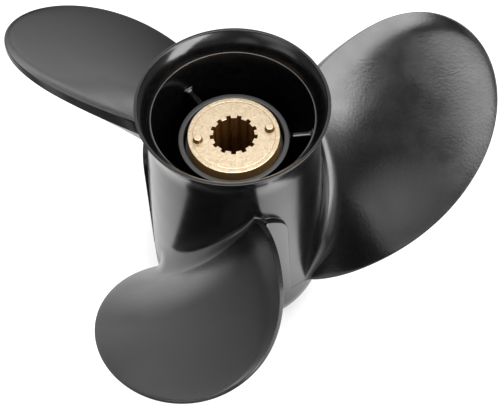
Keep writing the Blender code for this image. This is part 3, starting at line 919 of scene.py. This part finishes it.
class NodeTree:
    """Shader arithmetic put together node by node."""

    def __init__(self, tree):
        self.nodes = tree.nodes
        self.links = tree.links

    def feed(self, socket, value):
        """Link an output to a socket, or set the socket's own value."""
        if isinstance(value, bpy.types.NodeSocket):
            self.links.new(value, socket)
        else:
            socket.default_value = value

    def worked(self, operation, *values):
        """Plain arithmetic on one, two or three values."""
        node = self.nodes.new("ShaderNodeMath")
        node.operation = operation
        for socket, value in zip(node.inputs, values):
            self.feed(socket, value)
        return node.outputs["Value"]

    def vectors(self, operation, *values):
        """Arithmetic on one or two vectors. A length, a distance and a dot product are single values."""
        node = self.nodes.new("ShaderNodeVectorMath")
        node.operation = operation
        for socket, value in zip(node.inputs, values):
            self.feed(socket, value)
        single = operation in ("LENGTH", "DISTANCE", "DOT_PRODUCT")
        return node.outputs["Value" if single else "Vector"]

    def ranged(self, value, start, stop, low=0.0, high=1.0):
        """Smooth step from low at start to high at stop."""
        node = self.nodes.new("ShaderNodeMapRange")
        node.interpolation_type = "SMOOTHSTEP"
        flipped = start > stop
        for name, setting in (
            ("From Min", stop if flipped else start), ("From Max", start if flipped else stop),
            ("To Min", high if flipped else low), ("To Max", low if flipped else high),
        ):
            node.inputs[name].default_value = setting
        self.feed(node.inputs["Value"], value)
        return node.outputs["Result"]


class Finish(NodeTree):
    """A finish on Object coordinates, with every size in metres."""

    def __init__(self, name, metallic=0.0):
        self.material = bpy.data.materials.new(name)
        self.material.use_nodes = True
        super().__init__(self.material.node_tree)
        self.shader = self.nodes["Principled BSDF"]
        self.shader.inputs["Metallic"].default_value = metallic
        self.shader.inputs["IOR"].default_value = IOR
        self.place = self.nodes.new("ShaderNodeTexCoord").outputs["Object"]

    def height(self):
        """Height above the hub's front end."""
        split = self.nodes.new("ShaderNodeSeparateXYZ")
        self.feed(split.inputs["Vector"], self.place)
        return split.outputs["Z"]

    def radius(self):
        """Distance from the shaft axis: the length of the place with its height taken out."""
        return self.vectors("LENGTH", self.vectors("MULTIPLY", self.place, (1.0, 1.0, 0.0)))

    def band(self, top, start, full):
        """1 at a top edge and 0 further down: a smooth step between two depths under it."""
        return self.ranged(self.height(), top - start, top - full)

    def ringed(self, share):
        """Places for marks left by turning: radius and height, plus a share of the true place."""
        joined = self.nodes.new("ShaderNodeCombineXYZ")
        self.feed(joined.inputs["X"], self.radius())
        self.feed(joined.inputs["Y"], self.height())
        spread = self.vectors("MULTIPLY", self.place, (share, share, share))
        return self.vectors("ADD", spread, joined.outputs["Vector"])

    def noise(self, blob, detail, place=None):
        """Cloudy noise from 0 to 1, in blobs about this far across."""
        node = self.nodes.new("ShaderNodeTexNoise")
        node.inputs["Scale"].default_value = 1.0 / blob
        node.inputs["Detail"].default_value = detail
        self.feed(node.inputs["Vector"], place or self.place)
        return node.outputs["Fac"]

    def clouds(self, blob, detail, start, stop, low, high):
        """Cloudy noise stepped smoothly from low to high between two of its levels."""
        return self.ranged(self.noise(blob, detail), start, stop, low, high)

    def grained(self, blob, detail, depth):
        """A layer of relief in cloudy noise, with its depth."""
        return self.noise(blob, detail), depth

    def speckled(self, spacing, reach, share, depth):
        """A layer of relief in round specks, with its depth.

        A speck is 1 in the middle of a cell of a Voronoi pattern and 0 past its reach. A cell has one
        where its own random level is under the share.
        """
        node = self.nodes.new("ShaderNodeTexVoronoi")
        node.inputs["Scale"].default_value = 1.0 / spacing
        self.feed(node.inputs["Vector"], self.place)
        near = self.ranged(node.outputs["Distance"], reach / spacing, 0.0)
        split = self.nodes.new("ShaderNodeSeparateColor")
        self.feed(split.inputs["Color"], node.outputs["Color"])
        chosen = self.worked("LESS_THAN", split.outputs["Red"], share)
        return self.worked("MULTIPLY", near, chosen), depth

    def mixed(self, share, one, other):
        """A colour between two colours."""
        node = self.nodes.new("ShaderNodeMix")
        node.data_type = "RGBA"
        self.feed(node.inputs["Factor"], share)
        for name, colour in (("A", one), ("B", other)):
            socket = [item for item in node.inputs if item.name == name and item.type == "RGBA"][0]
            self.feed(socket, (*colour, 1.0) if isinstance(colour, tuple) else colour)
        return [item for item in node.outputs if item.type == "RGBA"][0]

    def relief(self, *layers):
        """Bumps on bumps: each layer is a value from 0 to 1 and the depth that a whole step stands for."""
        under = None
        for value, depth in layers:
            node = self.nodes.new("ShaderNodeBump")
            node.inputs["Strength"].default_value = 1.0
            node.inputs["Distance"].default_value = depth
            self.feed(node.inputs["Height"], value)
            if under is not None:
                self.feed(node.inputs["Normal"], under)
            under = node.outputs["Normal"]
        self.feed(self.shader.inputs["Normal"], under)

    def done(self, colour, roughness):
        """Set colour and roughness, and hand over the material."""
        self.feed(self.shader.inputs["Base Color"], (*colour, 1.0) if isinstance(colour, tuple) else colour)
        self.feed(self.shader.inputs["Roughness"], roughness)
        return self.material


def blade_paint():
    """Sprayed black paint: orange peel in patches, a fine grain, and a few nibs of dust under it.

    The peel is stronger towards the root, and there is none on the root's fillet.
    """
    finish = Finish("blade_paint")
    radius = finish.radius()
    thick = finish.ranged(radius, *PEEL_THICKENING)
    patches = finish.worked("MULTIPLY", finish.clouds(*PEEL_PATCHES), thick)
    patches = finish.worked("MULTIPLY", patches, finish.ranged(radius, *PEEL_START))
    peel, peel_depth = finish.grained(*BLADE_PEEL)
    finish.relief(
        finish.grained(*BLADE_WAVES),
        (finish.worked("MULTIPLY", peel, patches), peel_depth),
        finish.grained(*BLADE_GRAIN),
        finish.speckled(*BLADE_NIBS),
    )
    colour = finish.mixed(finish.clouds(*BLADE_DUST), PAINT_BLACK, PAINT_DUSTY)
    return finish.done(colour, finish.clouds(*BLADE_ROUGHNESS))


def barrel_paint():
    """Smoother paint on the barrel, lighter in patches on the lip's edges as wear and painted highlight, and
    a painted highlight on the bore's ledge.

    The lip and the mouth inside it are the glossiest.
    """
    finish = Finish("barrel_paint")
    radius = finish.radius()
    # The ledge's lighter band is a painted highlight; the lip's lighter patches are wear and painted
    # highlight
    ledge_out = finish.ranged(radius, BORE_EDGE_RADIUS + LEDGE_BLUR, BORE_EDGE_RADIUS - LEDGE_BLUR)
    ledge = finish.worked("MULTIPLY", finish.band(BORE_EDGE_HEIGHT, *LEDGE_BAND), ledge_out)
    lip = finish.band(HUB_LENGTH, *LIP_BAND)
    lip_wear_and_highlight = finish.worked("MULTIPLY", finish.clouds(*LIP_WEAR_AND_HIGHLIGHT), lip)
    wear_and_highlight = finish.worked("MAXIMUM", ledge, lip_wear_and_highlight)
    finish.relief(
        finish.grained(*BARREL_WAVES),
        finish.grained(*BARREL_PEEL),
        finish.grained(*BARREL_GRAIN),
        finish.speckled(*BARREL_NIBS),
    )
    lip_inside = LIP_RADIUS - LIP_THICKNESS
    within = finish.ranged(radius, lip_inside + MOUTH_BLUR, lip_inside - MOUTH_BLUR)
    above = finish.ranged(finish.height(), BORE_EDGE_HEIGHT, BORE_EDGE_HEIGHT + MOUTH_GLOSS_RISE)
    glossy = finish.worked("MAXIMUM", lip, finish.worked("MULTIPLY", above, within))
    gloss = finish.worked("MULTIPLY", glossy, MOUTH_GLOSS)
    roughness = finish.worked("SUBTRACT", finish.clouds(*BARREL_ROUGHNESS), gloss)
    base = finish.mixed(finish.clouds(*BARREL_DUST), PAINT_BLACK, PAINT_DUSTY)
    return finish.done(finish.mixed(wear_and_highlight, base, PAINT_WORN_AND_HIGHLIT), roughness)


def hub_paint():
    """Thin coat inside the bore: glossy black walls and ribs, and a duller slate rim at the aft end."""
    finish = Finish("hub_paint")
    rim = finish.band(INNER_HUB_TOP, *RIM_BAND)
    finish.relief(finish.grained(*HUB_PEEL), finish.grained(*HUB_GRAIN))
    slate = finish.mixed(finish.noise(*RIM_CLOUDS), RIM_SLATE, RIM_SLATE_DARK)
    roughness = finish.ranged(rim, 0.0, 1.0, HUB_WALL_ROUGHNESS, HUB_RIM_ROUGHNESS)
    return finish.done(finish.mixed(rim, PAINT_BLACK, slate), roughness)


def bush_rubber():
    """Moulded black rubber, matt and finely grained."""
    finish = Finish("bush_rubber")
    finish.relief(finish.grained(*RUBBER_GRAIN))
    colour = finish.mixed(finish.noise(*RUBBER_CLOUDS), RUBBER_DARK, RUBBER_GREY)
    return finish.done(colour, finish.clouds(*RUBBER_ROUGHNESS))


def sleeve_brass():
    """Brass: a faced end with turned rings, speckles and pits, and darker, duller walls and bore.

    The flange's wall has a film over it, so it is less metallic.
    """
    finish = Finish("sleeve_brass", metallic=1.0)
    radius = finish.radius()
    faced = finish.band(SLEEVE_FACE_HEIGHT, *FACE_BAND)
    walled = finish.ranged(faced, 0.0, 1.0, 1.0, 0.0)
    from_groove = finish.worked("ABSOLUTE", finish.worked("SUBTRACT", radius, FACE_GROOVE_RADIUS))
    groove = finish.ranged(from_groove, FACE_GROOVE_HALF_WIDTH, GROOVE_CORE_SHARE * FACE_GROOVE_HALF_WIDTH)
    flange = finish.ranged(radius, *(SPLINE_MAJOR_RADIUS + out for out in FLANGE_MASK))
    flange_wall = finish.worked("MULTIPLY", flange, walled)
    rings = finish.noise(RING_SIZE, RING_DETAIL, finish.ringed(RING_BREAK))
    speckle, speckle_depth = finish.grained(*BRASS_SPECKLE)
    pits, pit_depth = finish.speckled(*BRASS_PITS)
    finish.relief((rings, RING_DEPTH), (speckle, speckle_depth), (pits, pit_depth))
    bright = finish.mixed(finish.ranged(speckle, *SPECKLE_TINT), BRASS_FACE_DARK, BRASS_FACE_LIGHT)
    bright = finish.mixed(finish.worked("MULTIPLY", pits, PIT_TINT), bright, BRASS_PIT)
    bright = finish.mixed(finish.worked("MULTIPLY", groove, GROOVE_TINT), bright, BRASS_PIT)
    dull = finish.mixed(finish.noise(*WALL_CLOUDS), BRASS_WALL_DARK, BRASS_WALL_LIGHT)
    dulling = finish.ranged(faced, 0.0, 1.0, WALL_DULLING, 0.0)
    roughness = finish.worked("ADD", finish.clouds(*BRASS_ROUGHNESS), dulling)
    metallic = finish.ranged(flange_wall, 0.0, 1.0, 1.0, FLANGE_METALLIC)
    finish.feed(finish.shader.inputs["Metallic"], metallic)
    return finish.done(finish.mixed(faced, dull, bright), roughness)


def peg_brass():
    """Brass of the pegs: bright tops, and walls painted dark brown as painted shade."""
    finish = Finish("peg_brass", metallic=1.0)
    crown = finish.band(SLEEVE_FACE_HEIGHT + PEG_HEIGHT, *PEG_BAND)
    speckle, speckle_depth = finish.grained(*PEG_SPECKLE)
    finish.relief((speckle, speckle_depth))
    bright = finish.mixed(finish.ranged(speckle, *SPECKLE_TINT), BRASS_FACE_DARK, BRASS_FACE_LIGHT)
    # The walls' dark brown is painted shade
    painted_shade_walls = finish.mixed(speckle, BRASS_PAINTED_SHADE_DARK, BRASS_PAINTED_SHADE_LIGHT)
    return finish.done(finish.mixed(crown, painted_shade_walls, bright), finish.ranged(speckle, *PEG_ROUGHNESS))


# The propeller

blade_finish = blade_paint()
barrel_finish = barrel_paint()
hub_finish = hub_paint()
rubber = bush_rubber()
brass = sleeve_brass()
# The pegs' brass has painted shade on its walls
peg_brass_with_painted_shade = peg_brass()

fitted("barrel", revolved(barrel_profile()), barrel_finish, "propeller_casting")
# What the casting repeats round the shaft: name, points, finish, and which end loops are zipped shut
repeated_pieces = (
    ("blade", blade_points(), blade_finish, (True, False)),
    ("land", land_points(), barrel_finish, (True, True)),
    ("seam", seam_points(), barrel_finish, (True, True)),
    ("rib", rib_points(), hub_finish, (True, True)),
)
for number in range(BLADES):
    for name, points, finish, caps in repeated_pieces:
        skin = lofted(turned_about(points, number * BLADE_PITCH_ANGLE), caps=caps)
        fitted(f"{name}_{number + 1}", skin, finish, "propeller_casting")
inner_hub = revolved(inner_hub_profile(), HUB_AROUND_STEPS)
fitted("inner_hub", inner_hub, hub_finish, "propeller_casting")
bush = revolved(bush_profile(), HUB_AROUND_STEPS)
fitted("rubber_bush_aft_end", bush, rubber, "rubber_bush")
sleeve = lofted(sleeve_points(), ring=True)
fitted("splined_sleeve", sleeve, brass, "brass_sleeve", SLEEVE_SHARP_ANGLE)
for number in range(PEGS):
    fitted(f"peg_{number + 1}", lofted(peg_points(number)), peg_brass_with_painted_shade, "brass_sleeve")


# The studio

CAMERA_ELEVATION = math.radians(56.644)
CAMERA_DISTANCE = 0.7768
CAMERA_TARGET = Vector((0.00707, 0.0, 0.05552))
CAMERA_ROLL = math.radians(-1.835)
SENSOR_WIDTH = 36.0
PICTURE_WIDTH_PIXELS = 500.0
FOCAL_LENGTH_PIXELS = 1441.7

FLOOR_REACH = 3.0
FLOOR_COLOUR = (0.2, 0.2, 0.2)
FLOOR_ROUGHNESS = 0.8
# The floor's own light: distances from the shaft axis where it is least and most, and its strength there
FLOOR_SHADE = (0.045, 0.08, 0.6, 0.95)
# Width over which the floor's own light comes in at the hub's foot
FLOOR_CONTACT = 6.0 * MM
# Distances where the floor's own light has gone and where it starts to go, and its share left there
FLOOR_FADE = (0.9, 0.4, 0.0, 1.0)
# Each pool of light on the floor: its middle, distances where it is full and where it ends, strength
FLOOR_POOLS = [
    (-0.24, 0.0, 0.10, 0.26, 0.35),
    (0.085, -0.090, 0.02, 0.080, 1.3),
    (0.064, -0.026, 0.01, 0.040, 0.4),
]
# The same for pools past the fade
FAR_POOLS = [
    (0.20, 0.90, 0.15, 0.65, 0.8),
]

ROOM_LIGHT = 0.36
# Each glow, in degrees: bearing and elevation of its middle, angles where it is full and where it ends.
# Its strength comes last
GLOWS = [
    (5.0, 17.0, 15.0, 62.0, 1.3),
    (-50.0, 50.0, 8.0, 30.0, 0.5),
    (232.0, 41.0, 6.0, 28.0, 1.95),
    (156.0, 31.0, 5.0, 18.0, 1.2),
    (237.0, 3.0, 6.0, 20.0, 1.5),
    (198.0, 8.0, 4.0, 14.0, 0.8),
]

RIGHT_BOX_AIM = Vector((0.0, 0.0, 0.08))
RIGHT_BOX_BEARING = 130.4
RIGHT_BOX_ELEVATION = 25.4
RIGHT_BOX_DISTANCE = 1.556
RIGHT_BOX_SIZE = (0.62, 1.42)
RIGHT_BOX_RADIANCE = 10.5
RIGHT_BOX_ROLL = math.radians(34.6)
OVERHEAD_PLACE = Vector((0.42, 0.10, 2.08))
OVERHEAD_AIM = Vector((0.42, 0.10, 0.08))
OVERHEAD_SIZE = (2.45, 1.31)
OVERHEAD_RADIANCE = 8.2


def set_camera():
    """The camera looks along +Y and down at the middle of the propeller, rolled a little."""
    lens = bpy.data.cameras.new("camera")
    lens.sensor_width = SENSOR_WIDTH
    lens.lens = SENSOR_WIDTH * FOCAL_LENGTH_PIXELS / PICTURE_WIDTH_PIXELS
    camera = bpy.data.objects.new("camera", lens)
    bpy.context.scene.collection.objects.link(camera)
    back = Vector((0.0, -math.cos(CAMERA_ELEVATION), math.sin(CAMERA_ELEVATION)))
    camera.location = CAMERA_TARGET + CAMERA_DISTANCE * back
    tilt = Matrix.Rotation(RIGHT_ANGLE - CAMERA_ELEVATION, 3, "X")
    camera.rotation_euler = (tilt @ Matrix.Rotation(CAMERA_ROLL, 3, "Z")).to_euler()
    bpy.context.scene.camera = camera


def direction_of(bearing, elevation):
    """Unit direction from a bearing, in degrees clockwise from +Y, and an elevation above the floor."""
    bearing = math.radians(bearing)
    elevation = math.radians(elevation)
    level = math.cos(elevation)
    return Vector((level * math.sin(bearing), level * math.cos(bearing), math.sin(elevation)))


def light_pool(finish, x, y, inner, outer, strength):
    """A round pool of light on the floor, smooth from its full middle to nothing."""
    out = finish.vectors("DISTANCE", finish.place, (x, y, 0.0))
    return finish.ranged(out, outer, inner, 0.0, strength)


def floor_light(finish):
    """The floor's own light: least round the hub, none under it, faded far out, with pools added to it."""
    out = finish.radius()
    light = finish.ranged(out, *FLOOR_SHADE)
    for pool in FLOOR_POOLS:
        light = finish.worked("ADD", light_pool(finish, *pool), light)
    contact = finish.ranged(out, FRONT_RADIUS - FLOOR_CONTACT, FRONT_RADIUS)
    light = finish.worked("MULTIPLY", light, contact)
    light = finish.worked("MULTIPLY", light, finish.ranged(out, *FLOOR_FADE))
    for pool in FAR_POOLS:
        light = finish.worked("ADD", light_pool(finish, *pool), light)
    return light


def lay_floor():
    """A plain pale floor that glows enough to read white."""
    mesh = bpy.data.meshes.new("studio_floor")
    corners = [(-1.0, -1.0, 0.0), (1.0, -1.0, 0.0), (1.0, 1.0, 0.0), (-1.0, 1.0, 0.0)]
    mesh.from_pydata((FLOOR_REACH * np.array(corners)).tolist(), [], [(0, 1, 2, 3)])
    floor = bpy.data.objects.new("studio_floor", mesh)
    bpy.context.scene.collection.objects.link(floor)
    finish = Finish("pale_floor")
    finish.feed(finish.shader.inputs["Emission Color"], (1.0, 1.0, 1.0, 1.0))
    finish.feed(finish.shader.inputs["Emission Strength"], floor_light(finish))
    mesh.materials.append(finish.done(FLOOR_COLOUR, FLOOR_ROUGHNESS))


def light_room():
    """The room is an even ground light plus soft glows, each a smooth cap of light round a direction.

    A cap's strength follows the cosine of the angle from its middle, eased between two angles.
    """
    room = bpy.data.worlds.new("studio")
    bpy.context.scene.world = room
    room.use_nodes = True
    sky = NodeTree(room.node_tree)
    direction = sky.nodes.new("ShaderNodeTexCoord").outputs["Generated"]
    light = ROOM_LIGHT
    for bearing, elevation, inner, outer, strength in GLOWS:
        facing = sky.vectors("DOT_PRODUCT", direction, direction_of(bearing, elevation))
        edge = math.cos(math.radians(outer))
        full = math.cos(math.radians(inner))
        light = sky.worked("ADD", sky.ranged(facing, edge, full, 0.0, strength), light)
    background = sky.nodes["Background"]
    sky.feed(background.inputs["Color"], (1.0, 1.0, 1.0, 1.0))
    sky.feed(background.inputs["Strength"], light)


def hang_light(name, shape, place, target, size, radiance, roll=0.0):
    """A soft light that faces a target, rolled about its middle.

    Its power is the brightness of its face times its area and pi. An ellipse fills a quarter of pi of
    the rectangle round it.
    """
    area = size[0] * size[1]
    if shape == "ELLIPSE":
        area = 0.25 * math.pi * area
    lamp = bpy.data.lights.new(name, "AREA")
    lamp.shape = shape
    lamp.size, lamp.size_y = size
    lamp.energy = math.pi * radiance * area
    light = bpy.data.objects.new(name, lamp)
    light.location = place
    facing = (target - place).to_track_quat("-Z", "Y").to_matrix()
    light.rotation_euler = (facing @ Matrix.Rotation(roll, 3, "Z")).to_euler()
    bpy.context.scene.collection.objects.link(light)


set_camera()
lay_floor()
light_room()
right_box_place = RIGHT_BOX_AIM + RIGHT_BOX_DISTANCE * direction_of(RIGHT_BOX_BEARING, RIGHT_BOX_ELEVATION)
hang_light("right_softbox", "RECTANGLE", right_box_place, RIGHT_BOX_AIM, RIGHT_BOX_SIZE,
           RIGHT_BOX_RADIANCE, RIGHT_BOX_ROLL)
hang_light("overhead_softbox", "ELLIPSE", OVERHEAD_PLACE, OVERHEAD_AIM, OVERHEAD_SIZE, OVERHEAD_RADIANCE)
bpy.context.scene.view_settings.view_transform = "Standard"
